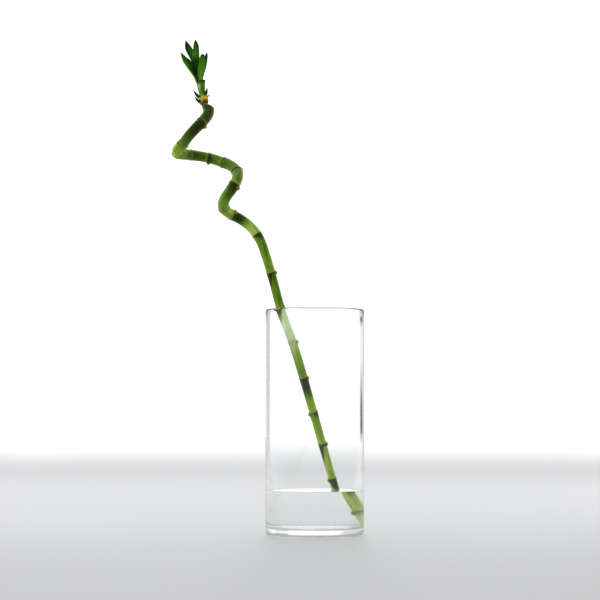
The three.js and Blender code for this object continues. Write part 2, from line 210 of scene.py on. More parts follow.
# Each leaf: how much painted light and shade its green takes along it, darker where other leaves shade it,
# and how much more painted light falls towards one edge, its midrib's line, the way that its face looks, its
# width, the shares of that width along it, and the degrees that it is rolled up
LEAVES = {
    "leaf_centre_tall": dict(
        painted_side_light=0.0,
        light=[(0, .3), (.2, 0), (.5, .1), (.68, .6), (.85, .5), (1, 0)],
        line=[(-115.5, -56.2, 450.6), (-116.9, -57.2, 458.5), (-118.2, -58.6, 467.2), (-118.6, -59.2, 476.1),
              (-118.4, -58.8, 484.7), (-119, -57.2, 493.8)],
        face=(0.25, 0.95, 0.1), width=8.4,
        widths=[(0, .5), (.2, .7), (.36, .94), (.5, 1), (.65, .86), (.85, .7), (.94, .4), (1, .05)],
        curls=[(0, 190), (.25, 110), (.6, 60), (1, 40)]),
    "leaf_right_front": dict(
        painted_side_light=-0.2,
        light=[(0, .6), (.4, .9), (.85, .85), (1, 0)],
        line=[(-113.7, -57.2, 450.9), (-113.6, -59.2, 458.1), (-112.5, -61.2, 464.7), (-111.7, -63.2, 471.4),
              (-111.6, -65.6, 476.2), (-111.7, -69.2, 477)],
        face=(-0.3, 0.95, 0.15), width=7.3,
        widths=[(0, .55), (.2, .8), (.45, 1), (.7, .84), (.85, .66), (.94, .4), (1, .08)],
        curls=[(0, 170), (.3, 90), (.7, 50), (1, 40)]),
    "leaf_left_low": dict(
        painted_side_light=1.1,
        light=[(0, .2), (.3, .2), (.55, .75), (.8, 1), (1, .3)],
        line=[(-117.4, -55.7, 449.7), (-120, -57.2, 456.3), (-123.5, -58.6, 462.2), (-127.3, -59.8, 467.8),
              (-130.7, -60.8, 473.4), (-133, -61.4, 480.2)],
        face=(0.62, -0.55, 0.5), width=15.0,
        widths=[(0, .4), (.2, .6), (.4, .92), (.55, 1), (.72, .86), (.88, .48), (1, .04)],
        curls=[(0, 180), (.3, 130), (.6, 100), (.85, 80), (1, 60)]),
    "leaf_left_tall": dict(
        painted_side_light=-0.7,
        light=[(0, .2), (.5, .5), (.75, .5), (1, 0)],
        line=[(-116.2, -53.2, 452.2), (-117.6, -52.2, 461.4), (-119.4, -50.8, 470.7), (-122.6, -50.2, 478.9),
              (-126.8, -50.4, 486.9), (-129.1, -52.2, 494.2)],
        face=(0.3, -0.94, 0.16), width=8.2,
        widths=[(0, .5), (.2, .68), (.5, .92), (.7, 1), (.84, .86), (.93, .46), (1, .05)],
        curls=[(0, 180), (.3, 100), (.6, 70), (1, 50)]),
    "leaf_right_rear": dict(
        painted_side_light=0.0,
        light=[(0, .5), (.5, .35), (1, 0)],
        line=[(-112.6, -52.8, 453.4), (-111.9, -51.8, 460.5), (-110.7, -50.8, 467.7), (-109.3, -50.2, 474.4),
              (-108.4, -50.4, 478.9), (-108, -51, 482.5)],
        face=(-0.55, -0.82, 0.2), width=8.0,
        widths=[(0, .55), (.25, .85), (.45, 1), (.65, .84), (.82, .56), (.92, .34), (1, .06)],
        curls=[(0, 170), (.3, 100), (.7, 60), (1, 50)]),
}
LEAF_ROWS = 48
LEAF_STRIPS = 16

# Hands: selecting and shaping


def deselect():
    if bpy.context.mode != "OBJECT":
        bpy.ops.object.mode_set(mode="OBJECT")
    bpy.ops.object.select_all(action="DESELECT")


def take_up(piece):
    """Selects one piece alone and makes it the active one."""
    deselect()
    piece.select_set(True)
    bpy.context.view_layer.objects.active = piece


def finish_modifiers(piece):
    take_up(piece)
    for modifier in list(piece.modifiers):
        bpy.ops.object.modifier_apply(modifier=modifier.name)


def read_along(table, at):
    """Reads rows of (place, value), with straight lines between them."""
    places, values = zip(*table)
    return np.interp(at, places, values)


def arc(centre, radius, start, end, steps=ROUND_STEPS):
    """Points (radius, height) of an arc between two directions in degrees."""
    angles = np.radians(np.linspace(start, end, steps + 1))
    return [(centre[0] + radius * math.cos(angle), centre[1] + radius * math.sin(angle)) for angle in angles]


def turn_outline(name, outline, steps):
    """Draws an open outline of (radius, height) point by point from the axis, and spins it round the axis."""
    deselect()
    bpy.ops.mesh.primitive_plane_add(size=MM)
    piece = bpy.context.object
    piece.name = name
    points = [Vector((x * MM, 0, z * MM)) for x, z in outline]
    bpy.ops.object.mode_set(mode="EDIT")
    bpy.ops.mesh.merge(type="CENTER")
    bpy.ops.transform.translate(value=points[0])
    for start, end in zip(points, points[1:]):
        bpy.ops.mesh.extrude_vertices_move(TRANSFORM_OT_translate={"value": end - start})
    bpy.ops.mesh.select_all(action="SELECT")
    bpy.ops.mesh.spin(steps=steps, angle=FULL_TURN, center=(0, 0, 0), axis=(0, 0, 1))
    bpy.ops.mesh.select_all(action="SELECT")
    bpy.ops.mesh.remove_doubles(threshold=MERGE_GAP * MM)
    bpy.ops.mesh.normals_make_consistent(inside=False)
    bpy.ops.object.mode_set(mode="OBJECT")
    bpy.ops.object.shade_smooth()
    return piece


def points_of(piece):
    """The piece's vertices in millimetres."""
    flat = np.zeros(len(piece.data.vertices) * 3)
    piece.data.vertices.foreach_get("co", flat)
    return flat.reshape(-1, 3) / MM


def put_points(piece, points):
    piece.data.vertices.foreach_set("co", (points * MM).ravel())
    piece.data.update()


# Lines that the plant follows


def smooth_line(points):
    """Points close together on the centripetal Catmull-Rom curve through the given ones."""
    knots = [np.array(point, float) for point in points]
    knots = [2 * knots[0] - knots[1], *knots, 2 * knots[-1] - knots[-2]]
    steps = (np.arange(LINE_STEPS) / LINE_STEPS)[:, None]
    made = []
    for before, start, end, after in zip(knots, knots[1:], knots[2:], knots[3:]):
        spans = ((before, start), (start, end), (end, after))
        gap_in, gap, gap_out = (np.linalg.norm(far - near) ** 0.5 for near, far in spans)
        leaving = ((start - before) / gap_in - (end - before) / (gap_in + gap) + (end - start) / gap) * gap
        arriving = ((end - start) / gap - (after - start) / (gap + gap_out) + (after - end) / gap_out) * gap
        cubic = 2 * start - 2 * end + leaving + arriving
        square = 3 * end - 3 * start - 2 * leaving - arriving
        made.append(start + leaving * steps + square * steps**2 + cubic * steps**3)
    made.append(knots[-2][None])
    return np.concatenate(made)


def evenly(points, count):
    """The same line as points at even distances, and its length."""
    places = np.concatenate([[0], np.cumsum(np.linalg.norm(np.diff(points, axis=0), axis=1))])
    at = np.linspace(0, places[-1], count)
    return np.array([np.interp(at, places, points[:, axis]) for axis in range(3)]).T, places[-1]


def walk(points, start_side):
    """Unit tangents along a line, and a sideways direction carried along it without twist."""
    tangents = np.gradient(points, axis=0)
    tangents /= np.linalg.norm(tangents, axis=1)[:, None]
    side = np.array(start_side, float)
    sides = []
    for tangent in tangents:
        side = side - side.dot(tangent) * tangent
        side /= np.linalg.norm(side)
        sides.append(side)
    return tangents, np.array(sides)


def bend_along(piece, line):
    """Bends an upright stalk along a guide curve and takes the guide away."""
    guide_points, _ = evenly(smooth_line(line), GUIDE_POINTS)
    shape = bpy.data.curves.new("guide", "CURVE")
    shape.dimensions = "3D"
    shape.twist_mode = "MINIMUM"
    shape.use_path = True
    spline = shape.splines.new("POLY")
    spline.points.add(len(guide_points) - 1)
    for point, place in zip(spline.points, guide_points):
        point.co = (*(place * MM), 1)
    guide = bpy.data.objects.new("guide", shape)
    bpy.context.scene.collection.objects.link(guide)
    bend = piece.modifiers.new("bend", "CURVE")
    bend.object = guide
    bend.deform_axis = "POS_Z"
    finish_modifiers(piece)
    bpy.data.objects.remove(guide)


# Node helpers


def new_material(name):
    material = bpy.data.materials.new(name)
    material.use_nodes = True
    return material, material.node_tree, material.node_tree.nodes["Principled BSDF"]


def node(tree, kind, values=None, **settings):
    """Adds a node. A value that is a socket is linked, and any other is set."""
    made = tree.nodes.new(kind)
    for key, value in settings.items():
        setattr(made, key, value)
    for key, value in (values or {}).items():
        if isinstance(value, bpy.types.NodeSocket):
            tree.links.new(value, made.inputs[key])
        else:
            made.inputs[key].default_value = value
    return made


def maths(tree, operation, *values):
    return node(tree, "ShaderNodeMath", dict(enumerate(values)), operation=operation).outputs[0]


def times(tree, first, second):
    return maths(tree, "MULTIPLY", first, second)


def swing(tree, noise, width):
    """Makes noise about a half into a swing of the given width about zero."""
    return times(tree, maths(tree, "SUBTRACT", noise, 0.5), width)


def fade(tree, value, start, end, low=0.0, high=1.0):
    """Eases from low at start to high at end."""
    values = {"Value": value, "From Min": start, "From Max": end, "To Min": low, "To Max": high}
    return node(tree, "ShaderNodeMapRange", values, interpolation_type="SMOOTHSTEP").outputs["Result"]


def blend(tree, share, first, second):
    made = node(tree, "ShaderNodeMix", data_type="RGBA")
    for socket, value in ((made.inputs[0], share), (made.inputs[6], first), (made.inputs[7], second)):
        if isinstance(value, bpy.types.NodeSocket):
            tree.links.new(value, socket)
        else:
            socket.default_value = value
    return made.outputs[2]


def attribute(tree, name, kind="Fac"):
    return node(tree, "ShaderNodeAttribute", attribute_name=name).outputs[kind]


def colour(red, green, blue):
    """A colour picked on a 0 to 255 scale, made linear."""
    return tuple((share / 255) ** 2.2 for share in (red, green, blue)) + (1.0,)


def ramp(tree, value, stops):
    made = node(tree, "ShaderNodeValToRGB", {"Fac": value})
    band = made.color_ramp
    while len(band.elements) < len(stops):
        band.elements.new(0.5)
    for element, (place, shade) in zip(band.elements, stops):
        element.position = place
        element.color = shade
    return made.outputs["Color"]


def keep_values(piece, name, values, domain="POINT", kind="FLOAT"):
    """Keeps values on the piece's points or face corners, for its material to read."""
    layer = piece.data.attributes.new(name, kind, domain)
    layer.data.foreach_set("vector" if kind == "FLOAT_VECTOR" else "value", np.ravel(values))


# Fibre group

FIBRE_SCALE = (1.6, 1.6, 0.07)
BLOTCH_SCALE = (0.25, 0.25, 0.08)


def make_fibre_group():
    """Fine streaks that run along a stalk or blade, and slow blotches, from its straight coordinates."""
    tree = bpy.data.node_groups.new("plant_fibre", "ShaderNodeTree")
    tree.interface.new_socket("Straight place", in_out="INPUT", socket_type="NodeSocketVector")
    tree.interface.new_socket("Streak", in_out="OUTPUT", socket_type="NodeSocketFloat")
    tree.interface.new_socket("Blotch", in_out="OUTPUT", socket_type="NodeSocketFloat")
    entry = tree.nodes.new("NodeGroupInput")
    leave = tree.nodes.new("NodeGroupOutput")
    stretched = node(tree, "ShaderNodeMapping", {"Vector": entry.outputs[0], "Scale": FIBRE_SCALE})
    fine_values = {"Vector": stretched.outputs[0], "Scale": 1.0, "Detail": 4.0, "Roughness": 0.6}
    fine = node(tree, "ShaderNodeTexNoise", fine_values)
    wide = node(tree, "ShaderNodeMapping", {"Vector": entry.outputs[0], "Scale": BLOTCH_SCALE})
    slow = node(tree, "ShaderNodeTexNoise", {"Vector": wide.outputs[0], "Scale": 1.0, "Detail": 2.0})
    tree.links.new(fine.outputs["Fac"], leave.inputs["Streak"])
    tree.links.new(slow.outputs["Fac"], leave.inputs["Blotch"])
    return tree


fibre_group = make_fibre_group()


def fibre(tree, place):
    made = tree.nodes.new("ShaderNodeGroup")
    made.node_tree = fibre_group
    tree.links.new(place, made.inputs["Straight place"])
    return made.outputs["Streak"], made.outputs["Blotch"]


# Glass and water

GLASS_BEND = 1.5
GLASS_TINT = (0.99, 0.993, 0.994, 1)
WATER_BEND = 1.333
WATER_TINT = (0.994, 0.993, 1.0, 1)
# How much of its true mirroring each shows
GLASS_MIRROR = 0.9
WATER_MIRROR = 0.3
SOFT_LIGHT_TINT = (0.985, 0.99, 0.99, 1)


def clear_material(name, bend_power, tint, mirror):
    """Clear glass or water that lets soft light through to what stands behind it."""
    material, tree, shader = new_material(name)
    shader.inputs["Base Color"].default_value = tint
    shader.inputs["Roughness"].default_value = 0.0
    shader.inputs["IOR"].default_value = bend_power
    shader.inputs["Metallic"].default_value = 0.0
    shader.inputs["Transmission Weight"].default_value = 1.0
    shader.inputs["Specular Tint"].default_value = (mirror, mirror, mirror, 1)
    clear = node(tree, "ShaderNodeBsdfTransparent", {"Color": SOFT_LIGHT_TINT})
    path = node(tree, "ShaderNodeLightPath")
    soft = maths(tree, "MAXIMUM", path.outputs["Is Shadow Ray"], path.outputs["Is Diffuse Ray"])
    mixed = node(tree, "ShaderNodeMixShader", {0: soft, 1: shader.outputs[0], 2: clear.outputs[0]})
    tree.links.new(mixed.outputs[0], tree.nodes["Material Output"].inputs["Surface"])
    return material


def make_vase():
    lip = WALL / 2
    outline = [
        (0, 0), (VASE_RADIUS - FOOT_ROUND - FLAT_MARGIN, 0),
        *arc((VASE_RADIUS - FOOT_ROUND, FOOT_ROUND), FOOT_ROUND, -90, 0),
        *((VASE_RADIUS, z) for z in np.linspace(FOOT_ROUND, VASE_HEIGHT - lip, WALL_ROWS)[1:-1]),
        *arc((VASE_RADIUS - lip, VASE_HEIGHT - lip), lip, 0, 180, RIM_STEPS),
        *((INNER_RADIUS, z) for z in np.linspace(VASE_HEIGHT - lip, FLOOR + INNER_ROUND, WALL_ROWS)[1:-1]),
        *arc((INNER_RADIUS - INNER_ROUND, FLOOR + INNER_ROUND), INNER_ROUND, 0, -90),
        (INNER_RADIUS - INNER_ROUND - FLAT_MARGIN, FLOOR), (0, FLOOR),
    ]
    vase = turn_outline("vase_glass", outline, GLASS_STEPS)
    vase.data.materials.append(clear_material("clear_glass", GLASS_BEND, GLASS_TINT, GLASS_MIRROR))
    return vase


def make_water():
    radius = INNER_RADIUS + WATER_INTO_GLASS
    bottom = FLOOR - WATER_INTO_GLASS
    corner = INNER_ROUND + WATER_INTO_GLASS
    top = WATER_LEVEL + MENISCUS_RISE
    surface = [
        (INNER_RADIUS - MENISCUS_REACH * share, WATER_LEVEL + MENISCUS_RISE * (1 - share) ** MENISCUS_POWER)
        for share in np.linspace(0, 1, MENISCUS_STEPS + 1)
    ]
    outline = [
        (0, bottom), (radius - corner - FLAT_MARGIN, bottom),
        *arc((radius - corner, bottom + corner), corner, -90, 0),
        *((radius, z) for z in np.linspace(bottom + corner, top - EDGE_HOLD, WATER_ROWS)[1:]),
        (radius, top), *surface, (0, WATER_LEVEL),
    ]
    water = turn_outline("water_body", outline, GLASS_STEPS)
    water.data.materials.append(clear_material("clear_water", WATER_BEND, WATER_TINT, WATER_MIRROR))
    return water


# Cane


def cane_radius(at):
    """Thinnest just above a ring, swelling towards the next ring up, which ends in a ridge."""
    radius = read_along(CANE_DIAMETERS, at) / 2
    for place, *_ in RINGS:
        below = place - at
        swollen = radius * (1 + SWELL * (1 - below / SWELL_LENGTH))
        radius = np.where((below >= 0) & (below < SWELL_LENGTH), swollen, radius)
        radius = radius + RING_HEIGHT * np.clip(1 - (below / RING_HALF_WIDTH) ** 2, 0, None)
    return radius


def cane_rows(length):
    """Where along the cane its rows of points lie: evenly, and closer together about each ring."""
    rows = set(np.linspace(END_BEVEL, length - END_BEVEL, CANE_ROWS).round(3))
    for place, *_ in RINGS:
        rows = {row for row in rows if not place - RING_CLEAR_BELOW < row < place + RING_CLEAR_ABOVE}
        rows |= {round(place + step, 3) for step in RING_ROWS}
    return sorted(rows)


def cane_outline(length):
    """The straight cane's outline, from the middle of its foot cut to the middle of its top cut."""
    rows = cane_rows(length)
    radii = cane_radius(np.array(rows))
    foot = [(radii[0] - END_BEVEL * inward, END_BEVEL * up) for inward, up in FOOT_BEVEL]
    side = [(radius, row) for radius, row in zip(radii, rows) if row < length - TOP_ROUND - SHOULDER_GAP]
    shoulder = [
        (radii[-1] - TOP_ROUND * (1 - math.sin(angle)), length - TOP_ROUND * (1 - math.cos(angle)))
        for angle in np.linspace(math.pi / 2, 0, SHOULDER_STEPS)
    ]
    return [(0, 0), *foot, *side, *shoulder, (0, length)]


def around_gap(angles, middle):
    """How far angles lie from a middle, in degrees, from -180 to 180."""
    return (angles - middle + 180) % 360 - 180


def raise_buds(stalk, at, turn):
    """Swells a dormant bud under each ring, and gives each point's share of it."""
    bud = np.zeros(len(stalk))
    for place, middle, *_ in RINGS:
        along = (place - at - BUD_LENGTH / 2) / (BUD_LENGTH / 2)
        around = around_gap(turn, middle) / BUD_SPREAD
        bud = np.maximum(bud, 1 - along**2 - around**2)
    reach = np.hypot(stalk[:, 0], stalk[:, 1])
    on_side = reach > CUT_REACH
    relief = bud * BUD_SHARE * read_along(CANE_DIAMETERS, at) / 2
    outward = stalk[on_side, :2] / reach[on_side, None]
    stalk[on_side, :2] += outward * relief[on_side, None]
    return bud


def slant_top(stalk, at, turn, length, tangent, side):
    """Lets the cut at the top fall a little to the right."""
    across = np.cross(tangent, side)
    angle = np.radians(turn)
    radial = np.hypot(stalk[:, 0], stalk[:, 1])
    offset = radial[:, None] * (np.cos(angle)[:, None] * side + np.sin(angle)[:, None] * across)
    level = np.clip(1 - (length - at) / TOP_CUT_LENGTH, 0, 1)
    facing = np.array([TOP_FALL, 0, 1])
    stalk[:, 2] -= level * offset.dot(facing) / tangent.dot(facing)


def make_cane():
    """Turns the cane straight, raises its buds, slants its top, and bends it along its line."""
    even, length = evenly(smooth_line(CANE_LINE), CANE_POINTS)
    tangents, sides = walk(even, (1, 0, 0))
    cane = turn_outline("cane_stalk", cane_outline(length), CANE_STEPS)
    stalk = points_of(cane)
    at = stalk[:, 2].copy()
    turn = np.degrees(np.arctan2(stalk[:, 1], stalk[:, 0])) + GUIDE_TURN
    keep_values(cane, "straight", stalk, kind="FLOAT_VECTOR")
    keep_values(cane, "bud", raise_buds(stalk, at, turn))
    slant_top(stalk, at, turn, length, tangents[-1], sides[-1])
    put_points(cane, stalk)
    paint_internodes(cane, at, turn, length)
    bend_along(cane, CANE_LINE)
    return cane


def paint_internodes(cane, at, turn, length):
    """Keeps, at each face's corners, the place within the internode, its green, dark patch and ring lines."""
    tops = np.array([ring[0] for ring in RINGS] + [length])
    feet = np.array([0.0] + [ring[0] for ring in RINGS])
    patches = [ring[2] for ring in RINGS] + [TOP_PATCH]
    greens = [ring[3] for ring in RINGS] + [TOP_GREENS]
    lines = [0.0] + [ring[4] for ring in RINGS] + [0.0]
    kept = {name: [] for name in ("below_ring", "above_ring", "dark_patch", "green", "ring_line")}
    for face in cane.data.polygons:
        corners = list(face.vertices)
        internode = min(int(np.searchsorted(tops, at[corners].mean())), len(RINGS))
        top, foot = tops[internode], feet[internode]
        centre, spread, reach, depth = patches[internode]
        upper, lower = greens[internode]
        line_below, line_above = lines[internode], lines[internode + 1]
        for corner in corners:
            share = np.clip((at[corner] - foot) / (top - foot), 0, 1)
            gap = abs(around_gap(turn[corner], centre)) / spread
            patch_length = reach if spread >= ALL_ROUND else reach * max(PATCH_LEAST, 1 - gap**2)
            kept["below_ring"].append(top - at[corner])
            kept["above_ring"].append(at[corner] - foot)
            kept["dark_patch"].append(depth * (1 - (top - at[corner]) / patch_length))
            kept["green"].append(lower + (upper - lower) * share)
            kept["ring_line"].append(line_below + (line_above - line_below) * share)
    for name, values in kept.items():
        keep_values(cane, name, values, "CORNER")


# The cane's greens, from the darkest to the palest
CANE_GREENS = [
    (0.0, colour(20, 40, 12)),
    (0.25, colour(44, 78, 18)),
    (0.5, colour(90, 134, 26)),
    (0.72, colour(136, 176, 46)),
    (0.88, colour(174, 202, 86)),
    (1.0, colour(216, 230, 134)),
]
BROKEN_SCALE = (0.32, 0.32, 0.03)
RING_WOBBLE = 1.4
STREAK_SWING = 0.8
BLOTCH_SWING = 0.35
BAND_SWING = 0.5
PATCH_RAGGED = 0.6
PATCH_FADE = (-0.05, 0.6, 0.0, 0.97)
PATCH_GREEN = colour(10, 40, 8)
BLUSH_FADE = (3.6, 1.2, 0.0, 0.4)
BLUSH_GREEN = colour(164, 172, 78)
# The lines about a ring, the lowest layer first: the side that each lies on, the distances from the ring
# between which it comes up, how the broken noise thins it, whether it goes by the ring's own strength, and
# its colour
RING_LINES = [
    ("above", (1.7, 0.7), (0.36, 0.6, 0.2, 0.85), True, colour(140, 92, 30)),
    ("below", (1.8, 0.5), (0.62, 0.42, 0.3, 0.9), False, colour(30, 36, 8)),
    ("below", (0.45, 0.2), (0.4, 0.56, 0.2, 0.85), True, colour(178, 144, 78)),
    ("above", (0.45, 0.15), (0.4, 0.56, 0.2, 0.8), True, colour(176, 140, 70)),
]
BUD_FADE = (0.0, 0.35)
BUD_STRENGTH = 0.8
BUD_TAN = colour(132, 112, 58)
# A bud's dark edge lies where it rises to this share of its height
BUD_EDGE = 0.12
BUD_EDGE_FADE = (0.16, 0.02, 0.0, 0.8)
BUD_EDGE_BROWN = colour(60, 40, 18)
WAX_ROUGHNESS = (0.3, 0.7, 0.24, 0.38)


def wax(tree, shader, fibres, level, tint, relief, depth):
    """A waxy skin: a soft, green-tinted gloss over fine raised fibres."""
    shader.inputs["Specular IOR Level"].default_value = level
    shader.inputs["Specular Tint"].default_value = tint
    bump = node(tree, "ShaderNodeBump", {"Height": fibres, "Strength": relief, "Distance": depth})
    tree.links.new(bump.outputs["Normal"], shader.inputs["Normal"])


def cane_material():
    material, tree, shader = new_material("waxy_cane")
    straight = attribute(tree, "straight", "Vector")
    streak, blotch = fibre(tree, straight)
    stretched = node(tree, "ShaderNodeMapping", {"Vector": straight, "Scale": BROKEN_SCALE})
    noise = node(tree, "ShaderNodeTexNoise", {"Vector": stretched.outputs[0], "Scale": 1.0, "Detail": 3.0})
    broken = noise.outputs["Fac"]

    # The internode: green by its place, with fine streaks, slow blotches and the dark patch under the ring
    slow = maths(tree, "ADD", swing(tree, blotch, BLOTCH_SWING), swing(tree, broken, BAND_SWING))
    green = maths(tree, "ADD", attribute(tree, "green"), swing(tree, streak, STREAK_SWING))
    skin = ramp(tree, maths(tree, "ADD", green, slow), CANE_GREENS)
    patch = maths(tree, "ADD", attribute(tree, "dark_patch"), times(tree, slow, PATCH_RAGGED))
    skin = blend(tree, fade(tree, patch, *PATCH_FADE), skin, PATCH_GREEN)

    # The ring: a pale blush above it, a brown band, a dark line under it and the thin scar lines, all broken
    wobble = swing(tree, blotch, RING_WOBBLE)
    distances = {
        "below": maths(tree, "ADD", attribute(tree, "below_ring"), wobble),
        "above": maths(tree, "SUBTRACT", attribute(tree, "above_ring"), wobble),
    }
    strong = attribute(tree, "ring_line")
    blush = times(tree, fade(tree, distances["above"], *BLUSH_FADE), strong)
    skin = blend(tree, blush, skin, BLUSH_GREEN)
    for side, reach, breaks, by_strength, shade in RING_LINES:
        line = times(tree, fade(tree, distances[side], *reach), fade(tree, broken, *breaks))
        if by_strength:
            line = times(tree, line, strong)
        skin = blend(tree, line, skin, shade)

    # The buds: tan scales with a dark edge
    bud = attribute(tree, "bud")
    skin = blend(tree, times(tree, fade(tree, bud, *BUD_FADE), BUD_STRENGTH), skin, BUD_TAN)
    from_edge = maths(tree, "ABSOLUTE", maths(tree, "SUBTRACT", bud, BUD_EDGE))
    skin = blend(tree, fade(tree, from_edge, *BUD_EDGE_FADE), skin, BUD_EDGE_BROWN)
    tree.links.new(skin, shader.inputs["Base Color"])
    tree.links.new(fade(tree, streak, *WAX_ROUGHNESS), shader.inputs["Roughness"])
    shader.inputs["Sheen Weight"].default_value = 0.6
    shader.inputs["Sheen Roughness"].default_value = 0.5
    shader.inputs["Sheen Tint"].default_value = (0.55, 0.9, 0.25, 1)
    shader.inputs["Subsurface Weight"].default_value = 0.25
    shader.inputs["Subsurface Scale"].default_value = 0.003
    shader.inputs["Subsurface Radius"].default_value = (0.8, 1.0, 0.3)
    wax(tree, shader, streak, level=0.16, tint=(0.5, 0.9, 0.3, 1), relief=0.15, depth=0.0004)
    return material


# Shoot


def shoot_outline(length):
    """The straight shoot's outline: its foot, sheath and lip, its open mouth and the young core in that."""
    rows = np.linspace(SHEATH_MARGIN, length - SHEATH_MARGIN, SHOOT_ROWS)
    radii = read_along(SHOOT_RADII, rows)
    lip = read_along(SHOOT_RADII, length)
    bottom = length - MOUTH_DEPTH
    core_top = bottom - CORE_SUNK + CORE_HEIGHT
    core_narrowing = CORE_TIP_RADIUS - CORE_RADIUS
    return [
        (0, -FOOT_SUNK), (radii[0] - FOOT_FLAT, -FOOT_SUNK), (radii[0] - SOFT_EDGE, SOFT_EDGE - FOOT_SUNK),
        (radii[0], -SHEATH_MARGIN), *zip(radii, rows),
        (lip - LIP_OUTER_STEP[0], length - LIP_OUTER_STEP[1]), ((lip + MOUTH_RADIUS) / 2, length),
        (MOUTH_RADIUS + LIP_INNER_STEP[0], length - LIP_INNER_STEP[1]),
        *((MOUTH_RADIUS, z) for z in np.linspace(length - MOUTH_START, bottom + SOFT_EDGE, MOUTH_ROWS)),
        (MOUTH_RADIUS - SOFT_EDGE, bottom), (CORE_RADIUS + SOFT_EDGE, bottom),
        (CORE_RADIUS, bottom + CORE_START),
        *((CORE_RADIUS + core_narrowing * up**CORE_TAPER, bottom + (core_top - SOFT_EDGE - bottom) * up)
          for up in np.linspace(CORE_FIRST_SHARE, 1, CORE_ROWS)),
        (CORE_TIP_RADIUS * CORE_TIP_SHARE, core_top - CORE_TIP_ROUND), (0, core_top),
    ]


def make_shoot():
    """Turns the shoot straight and lays it along its line, with its foot level and its lip sloped."""
    even, length = evenly(smooth_line(SHOOT_LINE), SHOOT_POINTS)
    tangents, sides = walk(even, (1, 0, 0))
    shoot = turn_outline("shoot_sheath", shoot_outline(length), SHOOT_STEPS)
    stalk = points_of(shoot)
    at = stalk[:, 2]
    keep_values(shoot, "straight", stalk, kind="FLOAT_VECTOR")
    keep_values(shoot, "up_shoot", at)
    radial = np.hypot(stalk[:, 0], stalk[:, 1])
    turn = np.arctan2(stalk[:, 1], stalk[:, 0])
    index = np.clip((at / length * (len(even) - 1)).astype(int), 0, len(even) - 1)
    tangent, side = tangents[index], sides[index]
    across = np.cross(tangents, sides)[index]
    offset = side * (np.cos(turn) * radial)[:, None] + across * (np.sin(turn) * radial)[:, None]
    level = np.clip(1 - at / FOOT_LEVEL_LENGTH, 0, 1)
    slope = LIP_SLOPE * np.clip(1 - (length - at) / LIP_LENGTH, 0, 1) * (radial > LIP_REACH)
    shift = -level * offset[:, 2] / tangent[:, 2] + slope * offset[:, 0]
    beyond = np.clip(at - length, 0, None) + np.clip(at, None, 0)
    put_points(shoot, even[index] + offset + tangent * (shift + beyond)[:, None])
    return shoot, even, length


def place_blade(name, rows, half_widths, curls, across, face, thickness, light, painted_side_light):
    """A blade from a flat grid: each row goes to its place on the line and is rolled about the midrib."""
    deselect()
    bpy.ops.mesh.primitive_grid_add(x_subdivisions=LEAF_STRIPS, y_subdivisions=LEAF_ROWS, size=2)
    blade = bpy.context.object
    blade.name = name
    flat = points_of(blade) * MM
    strip = flat[:, 0]
    up = (flat[:, 1] + 1) / 2
    index = np.clip(np.rint(up * LEAF_ROWS).astype(int), 0, LEAF_ROWS)
    roll = 2 * half_widths[index] / curls[index]
    angle = curls[index] * strip / 2
    fold = MIDRIB_FOLD * half_widths[index] * np.exp(-(strip / MIDRIB_WIDTH) ** 2) * (1 - up)
    outward = across[index] * np.sin(angle)[:, None] - face[index] * np.cos(angle)[:, None]
    put_points(blade, rows[index] + face[index] * roll[:, None] + outward * (roll + fold)[:, None])
    length = np.linalg.norm(np.diff(rows, axis=0), axis=1).sum()
    straight = np.stack([strip * half_widths[index], strip * 0, up * length], 1)
    keep_values(blade, "straight", straight, kind="FLOAT_VECTOR")
    keep_values(blade, "up_blade", up)
    keep_values(blade, "off_midrib", strip)
    # Painted light and shade: how lit each point of the blade is drawn, along it and towards one edge
    keep_values(blade, "painted_leaf_light", read_along(light, up) + painted_side_light * strip)
    take_up(blade)
    bpy.ops.object.mode_set(mode="EDIT")
    bpy.ops.mesh.select_all(action="SELECT")
    bpy.ops.mesh.normals_make_consistent(inside=False)
    bpy.ops.object.mode_set(mode="OBJECT")
    wall = blade.modifiers.new("thickness", "SOLIDIFY")
    wall.thickness = thickness * MM
    wall.offset = 0
    finish_modifiers(blade)
    bpy.ops.object.shade_smooth()
    return blade


def make_leaf(name, leaf):
    rows, _ = evenly(smooth_line(leaf["line"]), LEAF_ROWS + 1)
    tangents, faces = walk(rows, leaf["face"])
    across = -np.cross(tangents, faces)
    shares = np.linspace(0, 1, LEAF_ROWS + 1)
    halves = leaf["width"] * read_along(leaf["widths"], shares) / 2
    curls = np.radians(read_along(leaf["curls"], shares))
    return place_blade(name + "_blade", rows, halves, curls, across, faces, BLADE_THICKNESS, leaf["light"],
                       leaf["painted_side_light"])


def make_bract(bract, even, length):
    """A small hooked scale leaf that stands off the shoot's neck."""
    name, height, turn, foot, reach, tilt, width = bract
    start = even[int(height / length * (len(even) - 1))]
    out = np.array([math.cos(math.radians(turn)), math.sin(math.radians(turn)), 0])
    lean = math.radians(tilt)
    along = out * math.sin(lean) + np.array([0, 0, math.cos(lean)])
    across = np.cross(along, out)
    across /= np.linalg.norm(across)
    face = np.cross(across, along)
    shares = np.linspace(0, 1, LEAF_ROWS + 1)
    rows = start + out * foot + along * (shares * reach)[:, None] - face * (shares**2 * BRACT_HOOK)[:, None]
    halves = np.maximum(width * BRACT_FULLNESS * (1 - shares**BRACT_TAPER), BRACT_TIP)
    curls = np.radians(read_along(BRACT_CURLS, shares))
    ones = np.ones((LEAF_ROWS + 1, 1))
    return place_blade(name, rows, halves, curls, across * ones, face * ones, BRACT_THICKNESS, BRACT_LIGHT,
                       painted_side_light=0.0)


